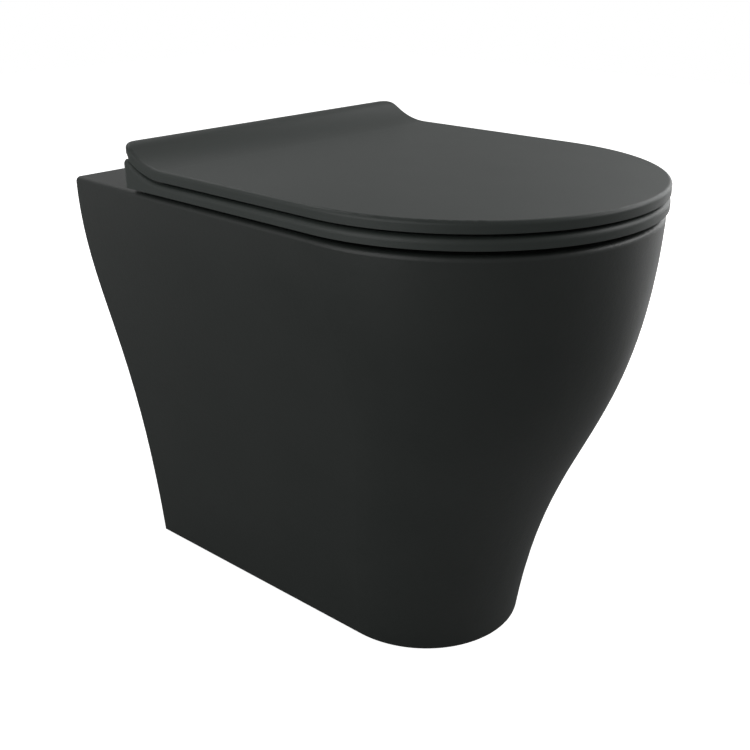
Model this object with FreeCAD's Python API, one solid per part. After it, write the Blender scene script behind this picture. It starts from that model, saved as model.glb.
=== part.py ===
import FreeCAD, Part
import math
import os

# Floor-standing back-to-wall toilet pan with a slim soft-close seat and lid.
# Millimetres. The wall is the plane y = 0 and the floor is z = 0; the front of the pan looks
# along -Y, +X is to the right of someone who faces the wall, and x = 0 is the centre line.

V = FreeCAD.Vector
X_AXIS = V(1, 0, 0)
Y_AXIS = V(0, 1, 0)
Z_AXIS = V(0, 0, 1)

# ---------------------------------------------------------------- pan: outer skin
PAN_HEIGHT = 412.0
SKIRT_WALL = 14.0           # fired thickness of the skirt
DECK = 16.0                 # thickness of the deck, where the seat is fixed
RIM_EDGE = 4.6              # rounding along the outside of the rim
FOOT_EDGE = 0.6             # rounding where the skirt meets the floor
SKIN_SECTIONS = 9
# Two profiles from the floor to the deck, each a curve of four poles (reach, height):
# half the width at the wall, and how far the front stands from the wall.
SIDE_PROFILE = ((104.0, 0.0), (125.4, 254.0), (170.0, 298.0), (169.0, PAN_HEIGHT))
FRONT_PROFILE = ((388.5, 0.0), (416.5, 212.0), (492.0, 208.0), (496.5, PAN_HEIGHT))
NOSE_AT_FLOOR = 0.924       # radius of the round front over the half width at the wall
NOSE_AT_DECK = 1.02
BEYOND_WALL = 20.0          # the skin is made this much too deep, then cut off at the wall

# ---------------------------------------------------------------- pan: bowl and waterway
# Bowl outline at several heights: (height, half width, front reach, rear reach, rear corner)
BOWL = (
    (PAN_HEIGHT, 128.0, 451.0, 165.0, 68.0),
    (366.0, 124.0, 447.0, 170.0, 66.0),
    (300.0, 108.0, 418.0, 184.0, 58.0),
    (230.0, 82.0, 375.0, 202.0, 46.0),
    (170.0, 58.0, 338.0, 216.0, 36.0),
    (120.0, 45.0, 312.0, 226.0, 30.0),
    (80.0, 36.0, 299.0, 232.0, 26.0),
)
BOWL_WALL = 12.0
RIM_WALL = 26.0             # the bowl wall thickens towards the rim, and joins the skirt there
SUMP_EDGE = 12.0            # rounding at the bottom of the bowl
LIP_EDGE = 4.5              # rounding along the inside of the rim
FLUTE_R = 12.0              # open flushing channel under the rim
FLUTE_DEPTH = 9.0
FLUTE_Z = PAN_HEIGHT - 24.0

TRAP_PATH = ((-245.0, 108.0), (-194.0, 106.0), (-132.0, 272.0), (-92.0, 180.0))   # (y, z)
TRAP_BENDS = (45.0, 33.0)
TRAP_R = 30.0
TRAP_WALL = 10.0
TRAP_SIDE_EDGE = 24.0

OUTLET_Z = 180.0            # horizontal outlet, 180 mm above the floor
OUTLET_R = 51.0             # outside of the free end of the spigot
OUTLET_FREE = 45.0          # length that the waste connector goes over
OUTLET_ROOT_R = 54.0        # the spigot is thicker where it leaves the trap
OUTLET_BORE_R = 41.0
OUTLET_FROM = -118.0        # the bore starts over the end of the trap
OUTLET_END = -16.0

INLET_Z = 335.0
INLET_R = 27.5              # bore for a 55 mm flush pipe seal
INLET_WALL = 10.0
INLET_END = -55.0
CHAMBER = ((-48.0, 48.0), (-160.0, -115.0), (318.0, 372.0))     # behind the bowl, under the deck
CHAMBER_WALL = 10.0
FLUSH_SLOT = ((-42.0, 42.0), (-186.0, -150.0), (350.0, 378.0))

LUG_X = (45.0, 98.0)        # ceramic lugs inside the skirt, for the floor brackets
LUG_Y = (-60.0, -46.0)
LUG_Z = (6.0, 68.0)
LUG_HOLE = (66.0, 40.0)     # x and z of the hole
LUG_HOLE_R = 6.0
LUG_EDGE = 8.0

# ---------------------------------------------------------------- seat and lid
HALF_WIDTH = 176.0
FRONT_REACH = 498.3
LID_REAR = 83.5
LID_CORNER = 17.0
LID_THICK = 9.2
LID_TOP = PAN_HEIGHT + 26.0
LID_EDGE = 3.4
LID_CREST = PAN_HEIGHT + 43.0       # the rear of the lid sweeps up over the hinges
CREST_FLAT = 3.6
SWEEP_HOLLOW = 72.0                 # radius of the hollow part of the sweep
SWEEP_ROUND = 20.0                  # radius where it rolls over to the crest
LID_DISH = 2.2                      # shallow recess in the underside of the lid
LID_DISH_INSET = 14.0

SEAT_BOTTOM = PAN_HEIGHT + 4.4
SEAT_TOP = PAN_HEIGHT + 14.3
SEAT_REAR = 86.4
SEAT_CORNER = 6.5
SEAT_EDGE = 5.2
SEAT_HOLE = (112.0, 432.0, 176.0, 62.0)     # half width, front reach, rear reach, corner
SEAT_HOLE_EDGE = 4.0
NOTCH_GAP = 7.0             # room round the hinge, for the steel disc too
SEAT_WING = 3.4             # thickness of the side wings that close the gap beside the hinges
WING_LIFT = 1.5             # the wings come that much closer to the lid than the front does
WING_FRONT = -150.0
WING_RELIEF_R = 6.9         # room in the lid for the rear ends of the wings as it opens

# ---------------------------------------------------------------- hinges
AXIS_Y = -91.0
AXIS_Z = PAN_HEIGHT + 28.0
FIXING_X = 77.5             # seat fixing holes at 155 mm centres
FIXING_Y = -113.0
FIXING_HOLE_R = 7.5
BARREL_R = 9.5
BLOCK_X = (60.0, 104.0)
BLOCK_FOOT = (-123.4, -102.6)
BLOCK_ARM_Z = AXIS_Z - 3.4  # underside of the arm that carries the barrel behind the post
COVER_SHELL = 3.4           # what is left of the lid over the hinge block
COVER_GAP = 1.0
COVER_END_GAP = 3.0
COVER_FRONT_GAP = 5.6
LUG_GAP = 0.5
LUG_SPAN = (106.0, 118.0)   # lid lug
EYE_SPAN = (121.0, 133.0)   # seat eye
EYE_R = 8.5
HINGE_RELIEF_R = 10.0       # room in the lid round the barrel and the seat eye
RUNNING = 0.05              # radial clearance of everything that turns

GASKET = (23.0, 1.0)        # radius and thickness
DISC = (24.0, 2.6)
BLOCK_BOTTOM = PAN_HEIGHT + GASKET[1] + DISC[1]     # the block stands on the disc
POST_R = 6.0
POST_TOP = PAN_HEIGHT + 16.5
SOCKET_GAP = 0.15           # between the post and the block
GROOVE_R = 4.2
GROOVE_Z = (PAN_HEIGHT + 7.5, PAN_HEIGHT + 11.5)
STUD_R = 3.0
STUD_END = PAN_HEIGHT - 50.0
HEX_KEY = 5.0
HEX_DEPTH = 4.0
CLEAR_STUD_R = 3.2          # holes that the stud passes
BUSH_R = 7.3
BUSH_BULGE_R = 10.5         # where the tightened sleeve swells under the deck
BUSH_BULGE = 8.0
NUT_TOP = PAN_HEIGHT - 40.0
NUT_ACROSS = 14.0
NUT_HIGH = 8.0

DAMPER_R = 6.95
DAMPER_BORE_R = 5.05
DAMPER_X = (62.0, 103.5)
DAMPER_FLOOR = 2.0          # closed end of the tube
ROTOR_END_GAP = 0.3
ROTOR_R = 5.0
DRIVE_R = 4.5
DRIVE_FLAT = 3.2
BUSH_WALL = 1.5

LATCH_Z = (PAN_HEIGHT + 7.8, PAN_HEIGHT + 11.2)
LATCH_HALF = 8.2
LATCH_END = 97.0
LATCH_GAP = 0.2
PRESS = 3.0                 # travel of the release button
PAD_X = (56.0, 61.5)
PAD_HALF = 7.0
PAD_Z = (PAN_HEIGHT + 5.6, PAN_HEIGHT + 14.0)
PAD_EDGE = 1.2
SPRING_R = 1.9
SPRING_GAP = 0.6
SPRING_WIRE_R = 0.25
SPRING_END = 102.4
SPRING_TURNS = 5

# ---------------------------------------------------------------- buffers and floor brackets
SEAT_BUFFER_R = 6.0
LID_BUFFER_R = 5.0
BUFFER_EDGE = 1.0
BUFFER_STEM = 2.5
BUFFER_LINE = 150.0         # seat buffers stand on the middle of the rim
LID_BUFFER_LINE = 142.0
BUFFER_TURN = 50.0          # degrees of the front pair from the centre line
BUFFER_REAR_Y = -215.0

BRACKET = 4.0
BRACKET_X = (48.0, 84.0)
BRACKET_TOP = 60.0
BRACKET_REAR = -4.0
BRACKET_SLOT = (66.0, -23.0, 9.0, 20.0)     # x, y, width and length of the floor slot
BRACKET_HOLE_R = 4.5
BOLT_R = 4.0
BOLT_REACH = 10.0           # how far the bolt passes the front washer
BOLT_HEAD = (13.0, 5.3)     # across flats and height
WASHER = (10.0, 1.6)        # radius and thickness
WASHER_HOLE_R = 4.2
NUT = (13.0, 6.5)           # across flats and height


# ---------------------------------------------------------------- helpers
def block(xs, ys, zs):
    """Box between pairs of coordinates."""
    return Part.makeBox(xs[1] - xs[0], ys[1] - ys[0], zs[1] - zs[0], V(xs[0], ys[0], zs[0]))


def rod(radius, start, end):
    """Round bar between two points."""
    along = end - start
    return Part.makeCylinder(radius, along.Length, start, along)


def hex_bar(across, start, end):
    """Six-sided bar between two points along Y or Z, across flats."""
    along = end - start
    side = X_AXIS * (across / math.sqrt(3.0))
    corners = [start + FreeCAD.Rotation(along, 60.0 * i).multVec(side) for i in range(7)]
    return Part.Face(Part.makePolygon(corners)).extrude(along)


def turned(outline, centre):
    """Solid of revolution about a vertical line, from (radius, height) corners."""
    points = [V(r, 0, z) for r, z in outline]
    face = Part.Face(Part.makePolygon(points + points[:1]))
    solid = face.revolve(V(0, 0, 0), Z_AXIS, 360)
    solid.translate(centre)
    return solid


def mirrored(shape):
    """The same piece on the other side of the centre line."""
    return shape.mirror(V(0, 0, 0), X_AXIS)


def round_edges(shape, radius, wanted):
    """Fillet the edges that the test picks."""
    return shape.makeFillet(radius, [e for e in shape.Edges if wanted(e)])


def on_axis(x):
    """Point of the hinge line."""
    return V(x, AXIS_Y, AXIS_Z)


# ---------------------------------------------------------------- outlines
def profile_reach(poles, height):
    """Reach of a profile at a height, by halving the curve's parameter."""
    low, high = 0.0, 1.0
    while high - low > 1e-9:
        t = (low + high) / 2
        weights = ((1 - t) ** 3, 3 * t * (1 - t) ** 2, 3 * t * t * (1 - t), t ** 3)
        if sum(w * pole[1] for w, pole in zip(weights, poles)) < height:
            low = t
        else:
            high = t
    return sum(w * pole[0] for w, pole in zip(weights, poles))


def skin_wire(height, inset):
    """Section of the skirt: straight back, two sides and the round nose that they touch."""
    half = profile_reach(SIDE_PROFILE, height)
    ratio = NOSE_AT_FLOOR + (NOSE_AT_DECK - NOSE_AT_FLOOR) * height / PAN_HEIGHT
    nose = half * ratio - inset
    half = half - inset
    front = profile_reach(FRONT_PROFILE, height) - inset
    centre = nose - front
    turn = math.atan2(-centre, half) - math.acos(nose / math.hypot(half, centre))
    touch = V(nose * math.cos(turn), centre + nose * math.sin(turn), height)
    at_wall = V(half, 0, height)
    rear = touch + (at_wall - touch) * ((BEYOND_WALL + inset - touch.y) / -touch.y)
    tip = V(0, -front, height)
    left_touch = V(-touch.x, touch.y, height)
    left_rear = V(-rear.x, rear.y, height)
    return Part.Wire([
        Part.LineSegment(left_rear, rear).toShape(),
        Part.LineSegment(rear, touch).toShape(),
        Part.Arc(touch, tip, left_touch).toShape(),
        Part.LineSegment(left_touch, left_rear).toShape(),
    ])


def d_wire(half, front, rear, corner, z):
    """Outline with a half-round front, straight sides and rounded rear corners."""
    nose_y = half - front
    side_y = -rear - corner
    bend = corner * (1 - math.sqrt(0.5))
    right = [V(half, nose_y, z), V(half, side_y, z), V(half - bend, -rear - bend, z),
             V(half - corner, -rear, z)]
    left = [V(-p.x, p.y, z) for p in right]
    return Part.Wire([
        Part.Arc(left[0], V(0, -front, z), right[0]).toShape(),
        Part.LineSegment(right[0], right[1]).toShape(),
        Part.Arc(right[1], right[2], right[3]).toShape(),
        Part.LineSegment(right[3], left[3]).toShape(),
        Part.Arc(left[3], left[2], left[1]).toShape(),
        Part.LineSegment(left[1], left[0]).toShape(),
    ])


def d_plate(half, front, rear, corner, z0, z1):
    """Plate with that outline, between two heights."""
    return Part.Face(d_wire(half, front, rear, corner, z0)).extrude(V(0, 0, z1 - z0))


def path_wire(points, bends):
    """Centre line in the plane x = 0, with a tangent arc at each inner point."""
    corners = [V(0, y, z) for y, z in points]
    edges = []
    start = corners[0]
    for i, radius in enumerate(bends, 1):
        back = (corners[i - 1] - corners[i]).normalize()
        ahead = (corners[i + 1] - corners[i]).normalize()
        half_angle = back.getAngle(ahead) / 2
        run = radius / math.tan(half_angle)
        middle = corners[i] + (back + ahead).normalize() * (radius / math.sin(half_angle) - radius)
        arc_in = corners[i] + back * run
        arc_out = corners[i] + ahead * run
        edges.append(Part.LineSegment(start, arc_in).toShape())
        edges.append(Part.Arc(arc_in, middle, arc_out).toShape())
        start = arc_out
    edges.append(Part.LineSegment(start, corners[-1]).toShape())
    return Part.Wire(edges)


def under_sweep(drop, floor, lift=0.0):
    """Everything between a height and the top of the lid, lowered by an even thickness."""
    crest_y = -LID_REAR - CREST_FLAT
    crest_z = LID_CREST + lift
    rise = crest_z - LID_TOP
    turn = math.acos(1 - rise / (SWEEP_HOLLOW + SWEEP_ROUND))
    foot_y = crest_y - (SWEEP_HOLLOW + SWEEP_ROUND) * math.sin(turn)
    hollow = V(0, foot_y, LID_TOP + SWEEP_HOLLOW)
    crown = V(0, crest_y, crest_z - SWEEP_ROUND)

    def on_hollow(angle):
        return hollow + V(0, math.sin(angle), -math.cos(angle)) * (SWEEP_HOLLOW + drop)

    def on_crown(angle):
        return crown + V(0, -math.sin(angle), math.cos(angle)) * (SWEEP_ROUND - drop)

    front_y = -FRONT_REACH - BEYOND_WALL
    rear_y = -LID_REAR + BEYOND_WALL
    top_front = V(0, front_y, LID_TOP - drop)
    top_rear = V(0, rear_y, crest_z - drop)
    outline = Part.Wire([
        Part.LineSegment(top_front, on_hollow(0)).toShape(),
        Part.Arc(on_hollow(0), on_hollow(turn / 2), on_hollow(turn)).toShape(),
        Part.Arc(on_crown(turn), on_crown(turn / 2), on_crown(0)).toShape(),
        Part.LineSegment(on_crown(0), top_rear).toShape(),
        Part.LineSegment(top_rear, V(0, rear_y, floor)).toShape(),
        Part.LineSegment(V(0, rear_y, floor), V(0, front_y, floor)).toShape(),
        Part.LineSegment(V(0, front_y, floor), top_front).toShape(),
    ])
    face = Part.Face(outline)
    face.translate(V(-2 * HALF_WIDTH, 0, 0))
    return face.extrude(V(4 * HALF_WIDTH, 0, 0))


# ---------------------------------------------------------------- pan
def skirt_shell():
    """Skirt and deck: one smooth skin, hollow and open at the floor and at the wall."""
    skin = Part.makeLoft(
        [skin_wire(PAN_HEIGHT * i / (SKIN_SECTIONS - 1), 0.0) for i in range(SKIN_SECTIONS)],
        True)
    ceiling = PAN_HEIGHT - DECK
    hollow = Part.makeLoft(
        [skin_wire(ceiling * i / (SKIN_SECTIONS - 1), SKIRT_WALL) for i in range(SKIN_SECTIONS)],
        True)
    beyond = block((-2 * HALF_WIDTH, 2 * HALF_WIDTH), (0, 4 * BEYOND_WALL),
                   (-BEYOND_WALL, PAN_HEIGHT + BEYOND_WALL))
    skin = skin.cut(beyond)
    skin = round_edges(skin, RIM_EDGE, lambda e: e.BoundBox.ZMin > PAN_HEIGHT - 1
                       and e.BoundBox.YMin < -1)
    skin = round_edges(skin, FOOT_EDGE, lambda e: e.BoundBox.ZMax < 1
                       and e.BoundBox.YMin < -1)
    return skin, hollow


def bowl_forms():
    """Outside and inside of the bowl."""
    inner = Part.makeLoft([d_wire(half, front, rear, corner, z)
                           for z, half, front, rear, corner in BOWL], True)
    inner = round_edges(inner, SUMP_EDGE, lambda e: e.BoundBox.ZMax < BOWL[-1][0] + 1)
    outer_wires = []
    for i, (z, half, front, rear, corner) in enumerate(BOWL):
        wall = RIM_WALL if i < 2 else BOWL_WALL
        height = {0: z - DECK / 2, len(BOWL) - 1: z - BOWL_WALL}.get(i, z)
        outer_wires.append(d_wire(half + wall, front + wall, rear - wall, corner + wall, height))
    return Part.makeLoft(outer_wires, True), inner


def flushing_channel():
    """Open flute that runs right round the bowl, under the rim."""
    z, half, front, rear, corner = BOWL[0]
    inset = FLUTE_R - FLUTE_DEPTH
    path = d_wire(half - inset, front - inset, rear + inset, corner - inset, FLUTE_Z)
    first = path.OrderedEdges[0]
    start = first.valueAt(first.FirstParameter)
    ring = Part.Wire(Part.makeCircle(FLUTE_R, start, first.tangentAt(first.FirstParameter)))
    return path.makePipeShell([ring], True, False)


def trap_forms():
    """Outside and inside of the trap, from the sump over the weir to the outlet."""
    line = path_wire(TRAP_PATH, TRAP_BENDS)
    start = line.Vertexes[0].Point
    ring = Part.Wire(Part.makeCircle(TRAP_R, start, Y_AXIS))
    inside = line.makePipeShell([ring], True, False)
    reach = TRAP_R + TRAP_WALL
    band = Part.Face(line.makeOffset2D(reach, 0, False, False))
    band.translate(V(-reach, 0, 0))
    outside = band.extrude(V(2 * reach, 0, 0))
    outside = round_edges(outside, TRAP_SIDE_EDGE,
                          lambda e: e.BoundBox.XLength < 1 and abs(e.BoundBox.XMax) > reach - 1)
    return outside, inside


def pan():
    """The whole ceramic body, cast and fired in one piece."""
    skin, hollow = skirt_shell()
    bowl_out, bowl_in = bowl_forms()
    trap_out, trap_in = trap_forms()

    free_from = V(0, OUTLET_END - OUTLET_FREE, OUTLET_Z)
    root = rod(OUTLET_ROOT_R, V(0, OUTLET_FROM - TRAP_WALL, OUTLET_Z), free_from)
    spigot = root.fuse(rod(OUTLET_R, free_from, V(0, OUTLET_END, OUTLET_Z)))
    spigot_bore = rod(OUTLET_BORE_R, V(0, OUTLET_FROM, OUTLET_Z), V(0, OUTLET_END + 1, OUTLET_Z))
    inlet = rod(INLET_R + INLET_WALL, V(0, CHAMBER[1][1], INLET_Z), V(0, INLET_END, INLET_Z))
    inlet_bore = rod(INLET_R, V(0, CHAMBER[1][1] - 1, INLET_Z), V(0, INLET_END + 1, INLET_Z))
    chamber_out = block(*[(low - CHAMBER_WALL, high + CHAMBER_WALL) for low, high in CHAMBER])
    chamber_out = round_edges(chamber_out, CHAMBER_WALL, lambda e: e.BoundBox.ZLength > 50)
    lug = block(LUG_X, LUG_Y, LUG_Z)
    lug = round_edges(lug, LUG_EDGE, lambda e: e.BoundBox.YLength > 10
                      and e.BoundBox.XMax < LUG_X[0] + 1)

    shell = skin.cut(hollow)
    body = shell.fuse([bowl_out, trap_out, spigot, inlet, chamber_out, lug, mirrored(lug)])
    body = body.cut([bowl_in, trap_in, spigot_bore, inlet_bore, block(*CHAMBER),
                     block(*FLUSH_SLOT), flushing_channel()])
    body = round_edges(body, LIP_EDGE, lambda e: e.BoundBox.ZMin > PAN_HEIGHT - 1
                       and e.BoundBox.YMax < -BOWL[0][3] + 1
                       and max(abs(e.BoundBox.XMin), e.BoundBox.XMax) < BOWL[0][1] + 1)

    for x in (-FIXING_X, FIXING_X):
        body = body.cut(rod(FIXING_HOLE_R, V(x, FIXING_Y, PAN_HEIGHT - 2 * DECK),
                            V(x, FIXING_Y, PAN_HEIGHT + 1)))
    for x in (-LUG_HOLE[0], LUG_HOLE[0]):
        body = body.cut(rod(LUG_HOLE_R, V(x, LUG_Y[0] - 1, LUG_HOLE[1]),
                            V(x, LUG_Y[1] + 1, LUG_HOLE[1])))
    return body


# ---------------------------------------------------------------- seat
def seat_ring():
    """Moulded ring, with wings that rise at the sides of the hinges and an eye on each side."""
    over = LID_CREST + BEYOND_WALL
    ring = d_plate(HALF_WIDTH, FRONT_REACH, SEAT_REAR, SEAT_CORNER, SEAT_BOTTOM, over)
    ring = ring.common(under_sweep(LID_TOP - SEAT_TOP, SEAT_BOTTOM - 1, WING_LIFT))
    ring = round_edges(ring, SEAT_EDGE, lambda e: e.BoundBox.ZMin > SEAT_TOP - 1
                       and not crosses(e))
    inside = HALF_WIDTH - SEAT_WING
    ring = ring.cut(block((-inside, inside), (WING_FRONT, 0), (SEAT_TOP, over)))

    half, front, rear, corner = SEAT_HOLE
    ring = ring.cut(d_plate(half, front, rear, corner, SEAT_BOTTOM - 1, SEAT_TOP + 1))
    ring = round_edges(ring, SEAT_HOLE_EDGE, lambda e: e.BoundBox.ZMin > SEAT_TOP - 0.1
                       and e.BoundBox.YMax < -rear + 1 and e.BoundBox.YMin > -front - 1
                       and max(abs(e.BoundBox.XMin), e.BoundBox.XMax) < half + 1)

    notch = block((BLOCK_X[0] - NOTCH_GAP, EYE_SPAN[0] - 1), (BLOCK_FOOT[0] - NOTCH_GAP, 0),
                  (SEAT_BOTTOM - 1, over))
    ring = ring.cut([notch, mirrored(notch)])

    eye = rod(EYE_R, on_axis(EYE_SPAN[0]), on_axis(EYE_SPAN[1]))
    eye = eye.fuse(block(EYE_SPAN, (AXIS_Y - EYE_R, AXIS_Y + EYE_R / 2), (SEAT_BOTTOM + 1, AXIS_Z)))
    ring = ring.fuse([eye, mirrored(eye)])
    left_hole = rod(DRIVE_R + BUSH_WALL, on_axis(-EYE_SPAN[0] + 1), on_axis(-EYE_SPAN[1] - 1))
    return ring.cut([left_hole, drive_bar(EYE_SPAN[0] - 1, EYE_SPAN[1] + 1, RUNNING)])


def crosses(edge):
    """True for the straight edges that run from side to side behind the round front."""
    return edge.BoundBox.XLength > 2 * HALF_WIDTH - 20 and edge.BoundBox.YMax > WING_FRONT


def drive_bar(x0, x1, extra):
    """Round bar on the hinge line with two flats, or the hole for it with the extra all round."""
    bar = rod(DRIVE_R + extra, on_axis(x0), on_axis(x1))
    flat = DRIVE_FLAT + extra
    return bar.common(block((min(x0, x1), max(x0, x1)), (AXIS_Y - flat, AXIS_Y + flat),
                            (AXIS_Z - 2 * DRIVE_R, AXIS_Z + 2 * DRIVE_R)))


def round_line(line, angles):
    """Points on the half-round front at a distance from its centre, by angle from the front."""
    centre_y = HALF_WIDTH - FRONT_REACH
    turns = [math.radians(a) for a in angles]
    return [V(line * math.sin(a), centre_y - line * math.cos(a), 0) for a in turns]


def buffer_places(line):
    """Two buffers at the front and two at the rear."""
    front = round_line(line, (-BUFFER_TURN, BUFFER_TURN))
    return front + [V(-line, BUFFER_REAR_Y, 0), V(line, BUFFER_REAR_Y, 0)]


def buffers(radius, bottom, top, line):
    """Soft feet with a stem that is pressed into the piece above."""
    feet = []
    for place in buffer_places(line):
        foot = rod(radius, place + V(0, 0, bottom), place + V(0, 0, top))
        foot = round_edges(foot, BUFFER_EDGE,
                           lambda e: e.isClosed() and e.BoundBox.ZMax < bottom + 0.1)
        stem = rod(radius / 2, place + V(0, 0, top), place + V(0, 0, top + BUFFER_STEM))
        feet.append(foot.fuse(stem))
    return Part.makeCompound(feet)


def buffer_sockets(radius, top, line):
    """What the stems fill in the piece that holds them."""
    return [rod(radius / 2, place + V(0, 0, top - 1), place + V(0, 0, top + BUFFER_STEM))
            for place in buffer_places(line)]


def bearing(span, bore):
    """Plain bush on the hinge line, on the left where the span is negative."""
    ring = rod(DRIVE_R + BUSH_WALL, on_axis(span[0]), on_axis(span[1]))
    return ring.cut(rod(bore, on_axis(span[0]), on_axis(span[1])))


# ---------------------------------------------------------------- lid
def lid():
    """Even moulded sheet that sweeps up at the rear, with a lug on each side for its hinge."""
    low = SEAT_TOP - 10
    sheet = d_plate(HALF_WIDTH, FRONT_REACH, LID_REAR, LID_CORNER, low, LID_CREST + 10)
    sheet = sheet.common(under_sweep(0, low)).cut(under_sweep(LID_THICK, low - 10))
    top_level = LID_TOP - LID_THICK / 2
    sheet = round_edges(sheet, LID_EDGE, lambda e: is_outer_edge(e) and e.BoundBox.ZMin > top_level
                        and not lies_under(e))
    dish = d_plate(HALF_WIDTH - LID_DISH_INSET, FRONT_REACH - LID_DISH_INSET, -WING_FRONT,
                   LID_DISH_INSET * 2, LID_TOP - LID_THICK - 1, LID_TOP - LID_THICK + LID_DISH)
    sheet = sheet.cut(dish)

    relief_block = (BLOCK_X[0] - COVER_END_GAP, LUG_SPAN[0] - LUG_GAP)
    relief_eye = (LUG_SPAN[1] + LUG_GAP, EYE_SPAN[1] + COVER_END_GAP)
    pocket = block(relief_block, (BLOCK_FOOT[0] - COVER_FRONT_GAP, AXIS_Y), (low, LID_CREST))
    pocket = pocket.common(under_sweep(COVER_SHELL, low))
    reliefs = [rod(HINGE_RELIEF_R, on_axis(a), on_axis(b)) for a, b in (relief_block, relief_eye)]
    wing_room = rod(WING_RELIEF_R, on_axis(HALF_WIDTH - SEAT_WING - 1), on_axis(HALF_WIDTH + 1))
    room = pocket.fuse(reliefs)
    sheet = sheet.cut([room, mirrored(room), wing_room, mirrored(wing_room)])

    neck = block(LUG_SPAN, (AXIS_Y - EYE_R, AXIS_Y + EYE_R / 2), (AXIS_Z, LID_CREST))
    neck = neck.common(under_sweep(COVER_SHELL, low))
    lug = rod(EYE_R, on_axis(LUG_SPAN[0]), on_axis(LUG_SPAN[1])).fuse(neck)
    sheet = sheet.fuse([lug, mirrored(lug)])
    right_hole = rod(DRIVE_R + BUSH_WALL, on_axis(LUG_SPAN[0] - 1), on_axis(LUG_SPAN[1] + 1))
    return sheet.cut([right_hole, drive_bar(-LUG_SPAN[1] - 1, -LUG_SPAN[0] + 1, RUNNING)])


def is_outer_edge(edge):
    """True for the edges that run along the outline of the lid."""
    middle = edge.valueAt((edge.FirstParameter + edge.LastParameter) / 2)
    nose_y = HALF_WIDTH - FRONT_REACH
    if middle.y < nose_y:
        return abs(math.hypot(middle.x, middle.y - nose_y) - HALF_WIDTH) < 0.1
    return abs(middle.x) > HALF_WIDTH - LID_CORNER or abs(middle.y + LID_REAR) < 0.1


def lies_under(edge):
    """True for the edges of the underside of the lid, and for its short upright edges."""
    middle = edge.valueAt((edge.FirstParameter + edge.LastParameter) / 2)
    probe = Part.Vertex(middle)
    return probe.distToShape(under_sweep(0, 0).Shells[0])[0] > 0.1


# ---------------------------------------------------------------- right-hand hinge
def hinge_block():
    """Moulded block that clips over the post; its arm carries the barrel behind the post."""
    foot_front, foot_rear = BLOCK_FOOT
    top = LID_CREST
    corners = ((foot_front, BLOCK_BOTTOM), (foot_rear, BLOCK_BOTTOM), (foot_rear, BLOCK_ARM_Z),
               (AXIS_Y, BLOCK_ARM_Z), (AXIS_Y, top), (foot_front, top))
    points = [V(BLOCK_X[0], y, z) for y, z in corners]
    body = Part.Face(Part.makePolygon(points + points[:1])).extrude(V(BLOCK_X[1] - BLOCK_X[0], 0, 0))
    body = body.common(under_sweep(COVER_SHELL + COVER_GAP, PAN_HEIGHT))
    body = body.fuse(rod(BARREL_R, on_axis(BLOCK_X[0]), on_axis(BLOCK_X[1])))

    bore = rod(DAMPER_R + RUNNING, on_axis(DAMPER_X[0]), on_axis(BLOCK_X[1] + 1))
    socket = rod(POST_R + SOCKET_GAP, V(FIXING_X, FIXING_Y, PAN_HEIGHT),
                 V(FIXING_X, FIXING_Y, POST_TOP + 2 * SOCKET_GAP))
    slide = block((BLOCK_X[0] - 1, SPRING_END), (FIXING_Y - LATCH_HALF - LATCH_GAP,
                                                 FIXING_Y + LATCH_HALF + LATCH_GAP),
                  (LATCH_Z[0] - LATCH_GAP, LATCH_Z[1] + LATCH_GAP))
    well = block((BLOCK_X[0] - 1, PAD_X[1] + PRESS + LATCH_GAP),
                 (FIXING_Y - PAD_HALF - LATCH_GAP, FIXING_Y + PAD_HALF + LATCH_GAP),
                 (PAD_Z[0] - LATCH_GAP, PAD_Z[1] + LATCH_GAP))
    middle = V(0, FIXING_Y, (LATCH_Z[0] + LATCH_Z[1]) / 2)
    pocket = rod(SPRING_R + SPRING_GAP, middle + V(LATCH_END - PRESS, 0, 0),
                 middle + V(SPRING_END, 0, 0))
    return body.cut([bore, socket, slide, well, pocket])


def hinge_post():
    """Turned pin: a grooved head for the latch, and the stud that goes down through the deck."""
    z0, z1 = GROOVE_Z
    outline = ((0, STUD_END), (STUD_R, STUD_END), (STUD_R, BLOCK_BOTTOM), (POST_R, BLOCK_BOTTOM),
               (POST_R, z0), (GROOVE_R, z0), (GROOVE_R, z1), (POST_R, z1),
               (POST_R, POST_TOP - 1), (POST_R - 1, POST_TOP), (0, POST_TOP))
    centre = V(FIXING_X, FIXING_Y, 0)
    post = turned(outline, centre)
    key = hex_bar(HEX_KEY, centre + V(0, 0, POST_TOP - HEX_DEPTH), centre + V(0, 0, POST_TOP + 1))
    return post.cut(key)


def hinge_disc():
    """Pressed steel washer under the post, with a rolled edge."""
    z0 = PAN_HEIGHT + GASKET[1]
    r, thick = DISC
    outline = ((CLEAR_STUD_R, z0), (r, z0), (r, z0 + thick / 2), (r - thick / 2, z0 + thick),
               (CLEAR_STUD_R, z0 + thick))
    return turned(outline, V(FIXING_X, FIXING_Y, 0))


def hinge_gasket():
    """Thin soft ring that keeps the steel off the glaze."""
    r, thick = GASKET
    outline = ((CLEAR_STUD_R, PAN_HEIGHT), (r, PAN_HEIGHT), (r, PAN_HEIGHT + thick),
               (CLEAR_STUD_R, PAN_HEIGHT + thick))
    return turned(outline, V(FIXING_X, FIXING_Y, 0))


def expansion_bush():
    """Rubber sleeve that swells under the deck when the stud is tightened from above."""
    ceiling = PAN_HEIGHT - DECK
    outline = ((CLEAR_STUD_R, PAN_HEIGHT), (BUSH_R, PAN_HEIGHT), (BUSH_R, ceiling),
               (BUSH_BULGE_R, ceiling), (BUSH_BULGE_R, ceiling - BUSH_BULGE), (BUSH_R, NUT_TOP),
               (CLEAR_STUD_R, NUT_TOP))
    return turned(outline, V(FIXING_X, FIXING_Y, 0))


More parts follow.
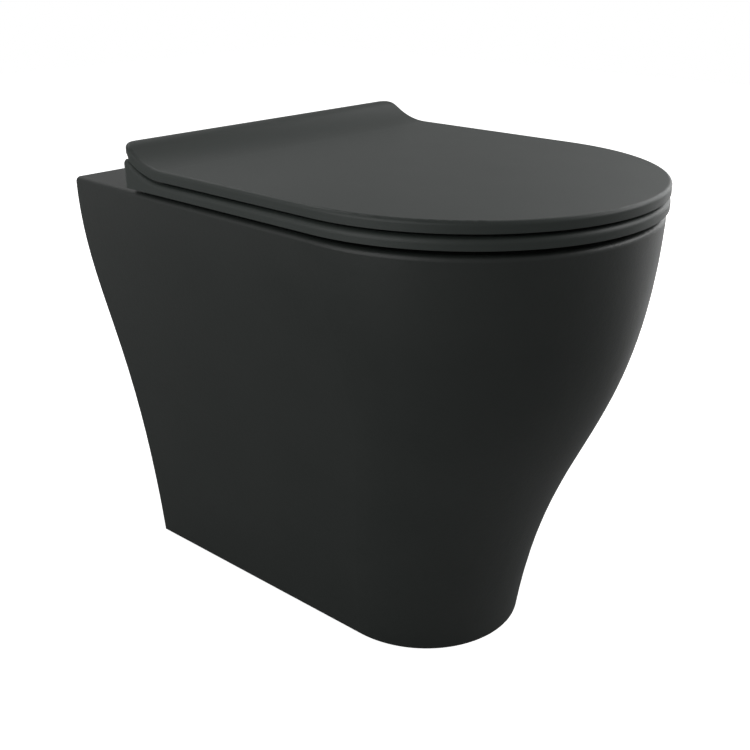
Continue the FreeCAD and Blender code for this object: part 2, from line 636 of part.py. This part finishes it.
def hinge_nut():
    """Brass nut that draws the rubber sleeve up."""
    centre = V(FIXING_X, FIXING_Y, 0)
    nut_bottom = NUT_TOP - NUT_HIGH
    nut = hex_bar(NUT_ACROSS, centre + V(0, 0, nut_bottom), centre + V(0, 0, NUT_TOP))
    return nut.cut(rod(STUD_R, centre + V(0, 0, nut_bottom - 1), centre + V(0, 0, NUT_TOP + 1)))


def damper_tube():
    """Closed tube of the rotary damper, fast in the barrel of the block."""
    x0, x1 = DAMPER_X
    tube = rod(DAMPER_R, on_axis(x0), on_axis(x1))
    return tube.cut(rod(DAMPER_BORE_R, on_axis(x0 + DAMPER_FLOOR), on_axis(x1 + 1)))


def damper_rotor(drives_seat):
    """Vaned core of the damper with its shaft: flats in the piece that it slows."""
    x0, x1 = DAMPER_X
    core = rod(ROTOR_R, on_axis(x0 + DAMPER_FLOOR + ROTOR_END_GAP), on_axis(x1))
    if drives_seat:
        lug = rod(DRIVE_R, on_axis(x1), on_axis(LUG_SPAN[1] + 1))
        eye = drive_bar(LUG_SPAN[1] + 1, EYE_SPAN[1], 0)
    else:
        lug = drive_bar(x1, LUG_SPAN[1], 0)
        eye = rod(DRIVE_FLAT, on_axis(LUG_SPAN[1]), on_axis(EYE_SPAN[1]))
    return core.fuse([lug, eye]).removeSplitter()


def release_button():
    """Push pad and latch plate in one; the keyhole lets go of the post when it is pressed."""
    z0, z1 = LATCH_Z
    plate = block((PAD_X[1], LATCH_END), (FIXING_Y - LATCH_HALF, FIXING_Y + LATCH_HALF), LATCH_Z)
    pad = block(PAD_X, (FIXING_Y - PAD_HALF, FIXING_Y + PAD_HALF), PAD_Z)
    pad = round_edges(pad, PAD_EDGE, lambda e: e.BoundBox.XMax < PAD_X[0] + 0.1)
    wide = V(FIXING_X - PRESS, FIXING_Y, z0 - 1)
    up = V(0, 0, z1 - z0 + 2)
    narrow = GROOVE_R + LATCH_GAP
    end = V(FIXING_X + LATCH_GAP, FIXING_Y, z0 - 1)
    slot = block((wide.x, end.x), (FIXING_Y - narrow, FIXING_Y + narrow), (z0 - 1, z1 + 1))
    keyhole = [rod(POST_R + LATCH_GAP, wide, wide + up), rod(narrow, end, end + up), slot]
    return plate.fuse(pad).cut(keyhole)


def button_spring():
    """Small coil spring between the latch plate and the outer wall of the block."""
    length = SPRING_END - LATCH_END - 2 * SPRING_WIRE_R
    coil = Part.makeHelix(length / SPRING_TURNS, length, SPRING_R)
    wire = Part.Wire(Part.makeCircle(SPRING_WIRE_R, V(SPRING_R, 0, 0), V(0, 1, 0)))
    spring = Part.Wire(coil.Edges).makePipeShell([wire], True, True)
    spring.rotate(V(0, 0, 0), Y_AXIS, 90)
    spring.translate(V(LATCH_END + SPRING_WIRE_R, FIXING_Y, (LATCH_Z[0] + LATCH_Z[1]) / 2))
    return spring


# ---------------------------------------------------------------- right-hand floor bracket
def floor_bracket():
    """Steel angle behind the ceramic lug, with a slotted hole for the floor screw."""
    x0, x1 = BRACKET_X
    upright = block(BRACKET_X, (LUG_Y[1], LUG_Y[1] + BRACKET), (0, BRACKET_TOP))
    leg = block(BRACKET_X, (LUG_Y[1], BRACKET_REAR), (0, BRACKET))
    angle = upright.fuse(leg).removeSplitter()
    angle = round_edges(angle, BRACKET, lambda e: e.BoundBox.XLength > 30
                        and e.BoundBox.YMin > LUG_Y[1] + BRACKET - 0.1
                        and e.BoundBox.YMax < LUG_Y[1] + BRACKET + 0.1
                        and e.BoundBox.ZMax < BRACKET + 0.1)
    x, y, width, length = BRACKET_SLOT
    straight = (length - width) / 2
    cuts = [rod(BRACKET_HOLE_R, V(LUG_HOLE[0], LUG_Y[1] - 1, LUG_HOLE[1]),
                V(LUG_HOLE[0], LUG_Y[1] + BRACKET + 1, LUG_HOLE[1])),
            block((x - straight, x + straight), (y - width / 2, y + width / 2), (-1, BRACKET + 1))]
    for side in (-straight, straight):
        cuts.append(rod(width / 2, V(x + side, y, -1), V(x + side, y, BRACKET + 1)))
    return angle.cut(cuts)


def bracket_bolt():
    """Hexagon bolt from behind, through the bracket and the lug."""
    x, z = LUG_HOLE
    across, high = BOLT_HEAD
    seat = LUG_Y[1] + BRACKET + WASHER[1]
    head = hex_bar(across, V(x, seat, z), V(x, seat + high, z))
    return head.fuse(rod(BOLT_R, V(x, seat, z), V(x, LUG_Y[0] - WASHER[1] - BOLT_REACH, z)))


def bracket_washers():
    """One washer under the bolt head and one under the nut."""
    x, z = LUG_HOLE
    r, thick = WASHER
    rear = LUG_Y[1] + BRACKET
    rings = []
    for y in (rear, LUG_Y[0] - thick):
        ring = rod(r, V(x, y, z), V(x, y + thick, z))
        rings.append(ring.cut(rod(WASHER_HOLE_R, V(x, y - 1, z), V(x, y + thick + 1, z))))
    return rings


def bracket_nut():
    """Nut in front of the lug."""
    x, z = LUG_HOLE
    across, high = NUT
    face = LUG_Y[0] - WASHER[1]
    nut = hex_bar(across, V(x, face, z), V(x, face - high, z))
    return nut.cut(rod(BOLT_R, V(x, face + 1, z), V(x, face - high - 1, z)))


# ---------------------------------------------------------------- all the pieces
def both(shape):
    """A piece and its mirror image as one group of separate solids."""
    return Part.makeCompound([shape, mirrored(shape)])


def pieces():
    """Every node of the object, by name."""
    seat_feet_top = SEAT_BOTTOM
    lid_feet_top = LID_TOP - LID_THICK + LID_DISH
    bracket = floor_bracket()
    washers = bracket_washers()
    block_right = hinge_block()
    post = hinge_post()
    tube = damper_tube()
    button = release_button()
    spring = button_spring()
    nodes = {
        "pan": pan(),
        "floor_bracket_left": mirrored(bracket),
        "floor_bracket_right": bracket,
        "bracket_bolts": both(bracket_bolt()),
        "bracket_washers": Part.makeCompound(washers + [mirrored(w) for w in washers]),
        "bracket_nuts": both(bracket_nut()),
        "hinge_gaskets": both(hinge_gasket()),
        "hinge_discs": both(hinge_disc()),
        "hinge_post_left": mirrored(post),
        "hinge_post_right": post,
        "expansion_bushes": both(expansion_bush()),
        "hinge_nuts": both(hinge_nut()),
        "hinge_block_left": mirrored(block_right),
        "hinge_block_right": block_right,
        "damper_tube_left": mirrored(tube),
        "damper_tube_right": tube,
        "release_button_left": mirrored(button),
        "release_button_right": button,
        "button_spring_left": mirrored(spring),
        "button_spring_right": spring,
        "seat_ring": seat_ring().cut(buffer_sockets(SEAT_BUFFER_R, seat_feet_top, BUFFER_LINE)),
        "seat_buffers": buffers(SEAT_BUFFER_R, PAN_HEIGHT, seat_feet_top, BUFFER_LINE),
        "seat_bush": bearing((-EYE_SPAN[0], -EYE_SPAN[1]), DRIVE_FLAT + RUNNING),
        "damper_rotor_right": damper_rotor(True),
        "lid": lid().cut(buffer_sockets(LID_BUFFER_R, lid_feet_top, LID_BUFFER_LINE)),
        "lid_buffers": buffers(LID_BUFFER_R, SEAT_TOP, lid_feet_top, LID_BUFFER_LINE),
        "lid_bush": bearing(LUG_SPAN, DRIVE_R + RUNNING),
        "damper_rotor_left": mirrored(damper_rotor(False)),
    }
    return nodes


os.makedirs("parts", exist_ok=True)
for name, shape in pieces().items():
    shape.exportStep("parts/" + name + ".step")
    box = shape.BoundBox
    print(f"{name}: {len(shape.Solids)} solids, valid {shape.isValid()}, {shape.Volume / 1000:.1f} cm3,"
          f" z {box.ZMin:.1f} to {box.ZMax:.1f}")
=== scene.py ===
import math

import bmesh
import bpy
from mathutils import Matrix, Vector


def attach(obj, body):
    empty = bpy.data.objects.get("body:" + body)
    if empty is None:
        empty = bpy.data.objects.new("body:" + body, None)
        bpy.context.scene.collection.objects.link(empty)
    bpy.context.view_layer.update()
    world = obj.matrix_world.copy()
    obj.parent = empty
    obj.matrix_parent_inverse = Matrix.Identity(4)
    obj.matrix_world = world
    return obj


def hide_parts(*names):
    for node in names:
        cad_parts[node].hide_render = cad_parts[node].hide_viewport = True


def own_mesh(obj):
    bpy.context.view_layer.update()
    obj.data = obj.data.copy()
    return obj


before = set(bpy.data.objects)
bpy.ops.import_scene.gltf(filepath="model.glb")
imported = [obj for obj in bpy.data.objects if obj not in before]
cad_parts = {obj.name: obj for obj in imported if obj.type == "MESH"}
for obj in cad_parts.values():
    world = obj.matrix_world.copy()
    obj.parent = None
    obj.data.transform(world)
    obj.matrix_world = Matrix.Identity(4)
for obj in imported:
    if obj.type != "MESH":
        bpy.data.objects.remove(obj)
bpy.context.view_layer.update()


# ------------------------------------------------------------------ viewpoint
# The pan is seen from its left front, a little above the lid, through a normal lens. The place
# and the angles are those at which the outline, the gaps and the foot fall where they should.
EYE = Vector((-0.7001, -0.8642, 0.6200))
EYE_TURN = math.radians(-47.6646)
EYE_DOWN = math.radians(22.8253)
LENS = 50.0             # millimetres, as is the sensor
SENSOR_WIDTH = 36.0

towards_eye = Vector((math.sin(EYE_TURN) * math.cos(EYE_DOWN),
                      -math.cos(EYE_TURN) * math.cos(EYE_DOWN),
                      math.sin(EYE_DOWN)))
camera = bpy.data.objects.new("viewpoint", bpy.data.cameras.new("viewpoint"))
camera.location = EYE
camera.rotation_euler = (-towards_eye).to_track_quat("-Z", "Y").to_euler()
camera.data.lens = LENS
camera.data.sensor_width = SENSOR_WIDTH
bpy.context.collection.objects.link(camera)
bpy.context.scene.camera = camera
bpy.context.scene.view_settings.view_transform = "Standard"


# ------------------------------------------------------------------ ceramic pan
# One casting of vitreous china. Its outside, rim and bowl carry a matte black glaze, sprayed on
# by hand; the hollow behind and under the bowl is bare fired clay with overspray at its edges.
class Value:
    """A shader value that can be used in sums, products and powers."""

    def __init__(self, recipe, socket):
        self.recipe = recipe
        self.socket = socket

    def _maths(self, operation, first, second):
        return self.recipe.node("ShaderNodeMath", {"operation": operation}, {0: first, 1: second})

    def __add__(self, other):
        return self._maths("ADD", self, other)

    def __radd__(self, other):
        return self._maths("ADD", other, self)

    def __sub__(self, other):
        return self._maths("SUBTRACT", self, other)

    def __rsub__(self, other):
        return self._maths("SUBTRACT", other, self)

    def __mul__(self, other):
        return self._maths("MULTIPLY", self, other)

    def __rmul__(self, other):
        return self._maths("MULTIPLY", other, self)

    def __truediv__(self, other):
        return self._maths("DIVIDE", self, other)

    def __rtruediv__(self, other):
        return self._maths("DIVIDE", other, self)

    def __pow__(self, other):
        return self._maths("POWER", self, other)

    def lower(self, other):
        """The lower of two values."""
        return self._maths("MINIMUM", self, other)

    def higher(self, other):
        """The higher of two values."""
        return self._maths("MAXIMUM", self, other)

    def zigzag(self, length):
        """Rises from 0 to that length and falls back, over and over."""
        return self._maths("PINGPONG", self, length)

    def between(self, first, second):
        """Goes from first to second as this value goes from 0 to 1."""
        return first + self * (second - first)


class Recipe:
    """A node tree that is being built."""

    def __init__(self, tree):
        self.nodes = tree.nodes
        self.links = tree.links

    def node(self, kind, settings, sockets, output=0):
        """A new node with its settings and sockets, as the value of one of its outputs."""
        made = self.nodes.new(kind)
        for name, setting in settings.items():
            setattr(made, name, setting)
        for name, value in sockets.items():
            self.give(made.inputs[name], value)
        return Value(self, made.outputs[output])

    def give(self, socket, value):
        """Links a value to a socket, or sets it."""
        if isinstance(value, Value):
            self.links.new(value.socket, socket)
        else:
            socket.default_value = value


class Finish(Recipe):
    """A material that is being built, with the shader of its surface."""

    def __init__(self, name, metallic=0.0, gloss=0.5):
        self.material = bpy.data.materials.new(name)
        self.material.use_nodes = True
        super().__init__(self.material.node_tree)
        self.surface = self.nodes["Principled BSDF"]
        self.paint(Metallic=metallic, Specular_IOR_Level=gloss)
        self.place = self.node("ShaderNodeTexCoord", {}, {}, "Object")

    def noise(self, scale, detail=3.0):
        """Soft random pattern from 0 to 1, with about that many blots to the metre."""
        return self.node("ShaderNodeTexNoise", {},
                         {"Vector": self.place, "Scale": scale, "Detail": detail,
                          "Roughness": 0.55}, "Fac")

    def ease(self, value, none, full):
        """0 where a value is at none or beyond, 1 at full or beyond, and a soft slope between."""
        return self.node("ShaderNodeMapRange", {"interpolation_type": "SMOOTHSTEP"},
                         {"Value": value, "From Min": none, "From Max": full})

    def mix(self, mask, first, second):
        """First colour where the mask is 0 and second where it is 1."""
        return self.node("ShaderNodeMix", {"data_type": "RGBA"},
                         {0: mask, 6: first, 7: second}, 2)    # its colour sockets, by number

    def apart(self, vector):
        """The three parts of a place or a direction: across, along the pan and up."""
        return [self.node("ShaderNodeSeparateXYZ", {}, {"Vector": vector}, part)
                for part in range(3)]

    def relief(self, value, depth):
        """Bumps of that depth in metres."""
        self.paint(Normal=self.node("ShaderNodeBump", {}, {"Height": value, "Distance": depth,
                                                           "Strength": 1.0}))

    def paint(self, **sockets):
        """Sets or links sockets of the surface, with _ for the spaces in their names."""
        for name, value in sockets.items():
            self.give(self.surface.inputs[name.replace("_", " ")], value)


GLAZE = (0.0125, 0.0158, 0.0142, 1.0)
GLAZE_THIN = (0.0200, 0.0232, 0.0214, 1.0)
CLAY = (0.64, 0.59, 0.52, 1.0)
CLAY_STAINED = (0.52, 0.47, 0.40, 1.0)
BLACK_GLOSS = 0.4               # the seat and the lid have it too
GLAZE_ROUGHNESS = 0.43
CLAY_ROUGHNESS = 0.86
PAN_GRAIN_DEPTH = 0.00012

# the plan: straight sides whose distance from the middle is a polynomial in the height, and a
# round nose that begins at a place along the pan and leans forward as it rises
SIDE_CURVE = (0.1036, 0.11932, -0.39063, 3.72938, -6.18885)
NOSE_FROM = -0.2925
NOSE_LEAN = 0.0765              # metres forward for each metre up
NEAR_MIDDLE = 0.001             # keeps a division off zero

# where the glaze is: each pair is a place with none of it, and one with all of it
SKIN = (0.76, 0.78)             # as a share of the way out to the side or the nose
SKIN_FACES = (0.2, 0.3)         # how far a face looks outwards
BOWL_FACES = (-0.05, 0.05)      # how far a face looks inwards or up
BOWL_FLOOR = (0.075, 0.078)
BOWL_REAR = (-0.16, -0.164)
BOWL_MIDDLE = -0.30             # along the pan
BOWL_TO = 0.78                  # the bowl ends at this share of the way out
CHANNEL_TO = 0.88               # and the flushing channel under the rim at this one
CHANNEL_FLOOR = (0.32, 0.325)
SHARE_FADE = 0.01
OUTLET_UP = 0.18
OUTLET_BORE = (0.046, 0.044)
OUTLET_DEPTH = (-0.14, -0.12)
RIM_TOP = (0.3955, 0.3965)
MIST_BY_WALL = (-0.045, 0.0)
MIST_BY_FLOOR = (0.05, 0.0)
MIST_LEVELS = (0.75, 1.35)
MIST_THICKEST = 0.85

glaze = Finish("pan_glaze", gloss=BLACK_GLOSS)
across, along, up = glaze.apart(glaze.place)
facing = glaze.node("ShaderNodeNewGeometry", {}, {}, "Normal")
to_side, to_rear, to_top = glaze.apart(facing)

# how far out from the middle of the plan a place is, as a share of the half width at its height
half_width = SIDE_CURVE[-1]
for term in reversed(SIDE_CURVE[:-1]):
    half_width = term + up * half_width
past_nose = (along - NOSE_FROM + up * NOSE_LEAN).lower(0.0)
reach = (across * across + past_nose * past_nose) ** 0.5
way_out = reach / half_width
outwards = (across * to_side + past_nose * to_rear) / reach.higher(NEAR_MIDDLE)
skin = glaze.ease(way_out, *SKIN) * glaze.ease(outwards, *SKIN_FACES)

# the faces of the bowl and of the channel look at the middle of the bowl or up
from_middle = along - BOWL_MIDDLE
bowl_reach = (across * across + from_middle * from_middle) ** 0.5
inwards = to_top - (across * to_side + from_middle * to_rear) / bowl_reach.higher(NEAR_MIDDLE)
bowl_to = glaze.ease(up, *CHANNEL_FLOOR).between(BOWL_TO, CHANNEL_TO)
inside = (glaze.ease(inwards, *BOWL_FACES) * glaze.ease(up, *BOWL_FLOOR)
          * glaze.ease(along, *BOWL_REAR) * glaze.ease(bowl_to - way_out, 0.0, SHARE_FADE))
above_outlet = up - OUTLET_UP
bore_reach = (across * across + above_outlet * above_outlet) ** 0.5
in_bore = glaze.ease(bore_reach, *OUTLET_BORE) * glaze.ease(along, *OUTLET_DEPTH)
on_top = glaze.ease(up, *RIM_TOP)

# overspray, thick at the edges by the wall and the floor and thinning inwards
mist_edge = glaze.ease(along, *MIST_BY_WALL).higher(glaze.ease(up, *MIST_BY_FLOOR))
mist = glaze.ease(mist_edge + glaze.noise(70.0, 4.0) * 0.9, *MIST_LEVELS) * MIST_THICKEST
glazed = skin.higher(inside).higher(in_bore).higher(on_top).higher(mist)

clouds = glaze.ease(glaze.noise(9.0), 0.3, 0.7)
grain = glaze.noise(1400.0, 2.0)
stain = glaze.ease(glaze.noise(26.0, 5.0), 0.35, 0.75)
black = glaze.mix(clouds * 0.35 + grain * 0.25, GLAZE, GLAZE_THIN)
clay = glaze.mix(stain * 0.7 + grain * 0.2, CLAY, CLAY_STAINED)
satin = GLAZE_ROUGHNESS + clouds * 0.05 + grain * 0.06
glaze.paint(Base_Color=glaze.mix(glazed, clay, black),
            Roughness=glazed.between(CLAY_ROUGHNESS, satin))
# the clay has twice as much of the coarser grain as the glaze
glaze.relief(grain * 0.6 + glaze.noise(260.0, 2.0) * (1.6 - glazed * 0.8), PAN_GRAIN_DEPTH)


def dress(node, material):
    """Gives a piece of the frame its finish."""
    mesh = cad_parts[node].data
    mesh.materials.clear()
    mesh.materials.append(material)


dress("pan", glaze.material)


# ------------------------------------------------------------------ floor brackets
# Two steel angles behind the ceramic lugs, each held by a bolt, a nut and two washers. All of it
# is zinc plated, so it is a dull blue-grey with a cloudy bloom.
ZINC = (0.56, 0.58, 0.60, 1.0)
ZINC_BLOOM = (0.40, 0.42, 0.45, 1.0)
ZINC_ROUGHNESS = (0.30, 0.48)
BOLT_PITCH = 0.00125
BOLT_THREAD_FROM = -0.0455      # along the pan
THREAD_DEPTH = 0.0006
THREAD_RUNOUT = 0.0004


def screw_thread(finish, place, start, pitch):
    """Height from 0 to 1 of a screw thread that runs from the start to lower places."""
    cut = finish.ease(place, start, start - THREAD_RUNOUT)
    return cut * place.zigzag(pitch / 2) * (2 / pitch)


def zinc_plate(name, threaded):
    """Zinc plate, with a screw thread along the bolts if asked for."""
    zinc = Finish(name, metallic=1.0)
    bloom = zinc.ease(zinc.noise(160.0, 4.0), 0.35, 0.65)
    zinc.paint(Base_Color=zinc.mix(bloom, ZINC, ZINC_BLOOM),
               Roughness=bloom.between(*ZINC_ROUGHNESS))
    pits = zinc.noise(900.0) * 0.07
    if threaded:
        _, place_along, _ = zinc.apart(zinc.place)
        pits = pits + screw_thread(zinc, place_along, BOLT_THREAD_FROM, BOLT_PITCH)
    zinc.relief(pits, THREAD_DEPTH)
    return zinc.material


plain_zinc = zinc_plate("zinc_plate", False)
for node in ("floor_bracket_left", "floor_bracket_right", "bracket_washers", "bracket_nuts"):
    dress(node, plain_zinc)
dress("bracket_bolts", zinc_plate("zinc_bolt", True))


# ------------------------------------------------------------------ seat fixings
# Each hinge stands on a steel disc on a soft ring. Its stud goes down through the deck into a
# rubber sleeve, which a brass nut draws up until it swells under the deck.
STEEL = (0.58, 0.57, 0.55, 1.0)
STEEL_WORN = (0.44, 0.43, 0.42, 1.0)
STEEL_ROUGHNESS = (0.20, 0.36)
STUD_PITCH = 0.001
STUD_THREAD_TOP = 0.404


def turned_steel(name, threaded):
    """Turned steel, with a screw thread below the deck if asked for."""
    steel = Finish(name, metallic=1.0)
    turned = steel.noise(700.0, 2.0)
    steel.paint(Base_Color=steel.mix(turned, STEEL, STEEL_WORN),
                Roughness=turned.between(*STEEL_ROUGHNESS))
    marks = turned * 0.05
    if threaded:
        _, _, height = steel.apart(steel.place)
        marks = marks + screw_thread(steel, height, STUD_THREAD_TOP, STUD_PITCH)
    steel.relief(marks, THREAD_DEPTH)
    return steel.material


bright_steel = turned_steel("turned_steel", False)
dress("hinge_discs", bright_steel)
stud_steel = turned_steel("stud_steel", True)
for node in ("hinge_post_left", "hinge_post_right"):
    dress(node, stud_steel)

BRASS = (0.70, 0.52, 0.24, 1.0)
BRASS_DULL = (0.48, 0.35, 0.17, 1.0)
BRASS_ROUGHNESS = (0.25, 0.45)
BRASS_GRAIN_DEPTH = 0.00003

brass = Finish("nut_brass", metallic=1.0)
dull = brass.ease(brass.noise(240.0), 0.4, 0.7)
brass.paint(Base_Color=brass.mix(dull, BRASS, BRASS_DULL), Roughness=dull.between(*BRASS_ROUGHNESS))
brass.relief(brass.noise(1100.0), BRASS_GRAIN_DEPTH)
dress("hinge_nuts", brass.material)

RUBBER = (0.028, 0.028, 0.029, 1.0)
RUBBER_BLOOM = (0.055, 0.055, 0.054, 1.0)
RUBBER_ROUGHNESS = (0.72, 0.87)
RUBBER_GRAIN_DEPTH = 0.00005

rubber = Finish("soft_rubber")
dusty = rubber.ease(rubber.noise(180.0, 4.0), 0.4, 0.8)
rubber.paint(Base_Color=rubber.mix(dusty, RUBBER, RUBBER_BLOOM),
             Roughness=dusty.between(*RUBBER_ROUGHNESS))
rubber.relief(rubber.noise(1600.0), RUBBER_GRAIN_DEPTH)
for node in ("hinge_gaskets", "expansion_bushes"):
    dress(node, rubber.material)


# ------------------------------------------------------------------ hinges
# Moulded blocks clip over the posts. Each holds a rotary damper in its barrel, and a push pad
# with a latch plate and a coil spring, which lets go of the post.
MOULDED = (0.045, 0.045, 0.046, 1.0)
MOULDED_PALE = (0.066, 0.066, 0.067, 1.0)
MOULDED_ROUGHNESS = (0.52, 0.66)
MOULDED_GRAIN_DEPTH = 0.00006

moulded = Finish("hinge_moulding")
spark = moulded.noise(1500.0, 2.0)
moulded.paint(Base_Color=moulded.mix(spark, MOULDED, MOULDED_PALE),
              Roughness=spark.between(*MOULDED_ROUGHNESS))
moulded.relief(spark, MOULDED_GRAIN_DEPTH)
for node in ("hinge_block_left", "hinge_block_right"):
    dress(node, moulded.material)

PAD = (0.20, 0.20, 0.21, 1.0)
PAD_PALE = (0.26, 0.26, 0.27, 1.0)
PAD_ROUGHNESS = (0.42, 0.56)
PAD_GRAIN_DEPTH = 0.00005

pad = Finish("pad_moulding")
pad_spark = pad.noise(1300.0, 2.0)
pad.paint(Base_Color=pad.mix(pad_spark, PAD, PAD_PALE),
          Roughness=pad_spark.between(*PAD_ROUGHNESS))
pad.relief(pad_spark, PAD_GRAIN_DEPTH)
for node in ("release_button_left", "release_button_right"):
    dress(node, pad.material)

NATURAL = (0.62, 0.61, 0.56, 1.0)
NATURAL_WORN = (0.52, 0.51, 0.46, 1.0)
NATURAL_ROUGHNESS = (0.38, 0.52)
NATURAL_GRAIN_DEPTH = 0.00004

natural = Finish("bearing_moulding")
worn = natural.ease(natural.noise(150.0), 0.35, 0.7)
natural.paint(Base_Color=natural.mix(worn, NATURAL, NATURAL_WORN),
              Roughness=worn.between(*NATURAL_ROUGHNESS))
natural.relief(natural.noise(900.0), NATURAL_GRAIN_DEPTH)
for node in ("damper_tube_left", "damper_tube_right", "damper_rotor_left", "damper_rotor_right",
             "seat_bush", "lid_bush"):
    dress(node, natural.material)

# a coil spring shortens as its pad is pressed, towards its outer end, which bears on the block;
# here each is a plain copy of its solid in turned steel, carried with the root in place of the
# solid
for side, outer_end in (("left", 0), ("right", 1)):
    solid = "button_spring_" + side
    coil = bpy.data.objects.new("coil_" + side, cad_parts[solid].data.copy())
    bpy.context.collection.objects.link(coil)
    coil.data.materials.clear()
    coil.data.materials.append(bright_steel)
    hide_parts(solid)
    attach(coil, "root")
    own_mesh(coil)


# ------------------------------------------------------------------ seat and lid
# Both are pressed from a thermoset moulding powder and rubbed down to a matte black that is a
# little paler than the glaze of the pan. They rest on soft feet.
POWDER = (0.0225, 0.0285, 0.0255, 1.0)
POWDER_PALE = (0.0300, 0.0360, 0.0330, 1.0)
POWDER_ROUGHNESS = 0.46
POWDER_GRAIN_DEPTH = 0.00006

powder = Finish("pressed_powder", gloss=BLACK_GLOSS)
flow = powder.ease(powder.noise(6.0), 0.3, 0.7)
tooth = powder.noise(1900.0, 2.0)
powder.paint(Base_Color=powder.mix(flow * 0.3 + tooth * 0.3, POWDER, POWDER_PALE),
             Roughness=POWDER_ROUGHNESS + flow * 0.04 + tooth * 0.06)
powder.relief(tooth, POWDER_GRAIN_DEPTH)
for node in ("seat_ring", "lid"):
    dress(node, powder.material)
for node in ("seat_buffers", "lid_buffers"):
    dress(node, rubber.material)


# ------------------------------------------------------------------ studio
# A seamless white floor in a white room, lit by six soft lamps. The lamp behind and above and
# the two on the left are for the lid and the flank, and those on the right for the nose.
FLOOR_REACH = 4.0
FLOOR_WHITE = (0.85, 0.85, 0.85, 1.0)
FLOOR_IN_GLOSS = (0.2, 0.2, 0.2, 1.0)
FLOOR_ROUGHNESS = 0.9
FLOOR_BOUNCE = 0.10     # light that the floor sends up on top of the lamplight
FLOOR_SEEN = 0.74       # what the eye gets beside that, so that only the pan's shadow shows
FLOOR_SEEN_FAR = 0.35   # and further out, where the lamps are weaker
FAR = (0.6, 1.4)        # metres from the pan
REFLECTED_GLOW_WAY = (0.8, 0.6)  # a step of 1 to the right and behind, where the floor glows in reflections only: a painted reflection along the pan's right side
REFLECTED_GLOW_REACH = (0.1, 0.8)      # metres that way
REFLECTED_GLOW_LEVEL = 0.85
ROOM_LEVEL = 0.108
ROOM_IN_GLOSS = 0.42
ROOM_SEEN = 1.0
PLAIN_WHITE = (1.0, 1.0, 1.0, 1.0)
RAYS = ("Is Camera Ray", "Is Glossy Ray", "Is Transmission Ray")
AIM = Vector((0.0, -0.25, 0.25))

bm = bmesh.new()
bmesh.ops.create_grid(bm, x_segments=1, y_segments=1, size=FLOOR_REACH)
floor_mesh = bpy.data.meshes.new("floor")
bm.to_mesh(floor_mesh)
bm.free()
floor = bpy.data.objects.new("floor", floor_mesh)
bpy.context.collection.objects.link(floor)

white = Finish("floor_white", gloss=0.0)
eye, gloss, glass = (white.node("ShaderNodeLightPath", {}, {}, ray) for ray in RAYS)
floor_across, floor_along, _ = white.apart(white.place)
from_pan = floor_along - AIM.y
away = (floor_across * floor_across + from_pan * from_pan) ** 0.5
far_out = white.ease(away, *FAR)
# painted reflection: a patch of floor to the right and behind glows for glossy rays only, so the
# pan's right edge looks lit
reflected_glow = white.ease(floor_across * REFLECTED_GLOW_WAY[0] + from_pan * REFLECTED_GLOW_WAY[1], *REFLECTED_GLOW_REACH)
white.paint(Base_Color=white.mix(gloss, FLOOR_WHITE, FLOOR_IN_GLOSS),
            Roughness=FLOOR_ROUGHNESS,
            Emission_Color=(eye.higher(glass) * (FLOOR_SEEN + far_out * FLOOR_SEEN_FAR)
                            + gloss * reflected_glow * REFLECTED_GLOW_LEVEL + FLOOR_BOUNCE),
            Emission_Strength=1.0)
floor_mesh.materials.append(white.material)

world = bpy.data.worlds.new("studio")
bpy.context.scene.world = world
world.use_nodes = True
room = Recipe(world.node_tree)
eye, gloss, glass = (room.node("ShaderNodeLightPath", {}, {}, ray) for ray in RAYS)
sky = room.nodes["Background"]
room.give(sky.inputs["Color"], PLAIN_WHITE)
room.give(sky.inputs["Strength"], (ROOM_LEVEL + gloss * (ROOM_IN_GLOSS - ROOM_LEVEL)
                                   + eye.higher(glass) * (ROOM_SEEN - ROOM_LEVEL)))


def soft_light(name, place, width, height, power):
    """Rectangular light that faces the pan, in metres and watts."""
    data = bpy.data.lights.new(name, "AREA")
    data.shape = "RECTANGLE"
    data.size = width
    data.size_y = height
    data.energy = power
    light = bpy.data.objects.new(name, data)
    light.location = place
    light.rotation_euler = (AIM - light.location).to_track_quat("-Z", "Y").to_euler()
    bpy.context.collection.objects.link(light)


soft_light("over_rear", Vector((0.0, 1.0, 1.8)), 1.4, 1.0, 7.2)
soft_light("right", Vector((1.8, -0.4, 0.8)), 0.6, 1.4, 10.0)
soft_light("right_high", Vector((1.6, -0.1, 1.5)), 0.8, 0.8, 3.5)
soft_light("front_right", Vector((1.4, -1.4, 1.2)), 0.8, 0.8, 13.5)
soft_light("left", Vector((-1.9, -0.3, 0.9)), 1.0, 1.4, 9.5)
soft_light("left_rear", Vector((-1.7, 0.4, 0.7)), 0.8, 1.0, 4.5)
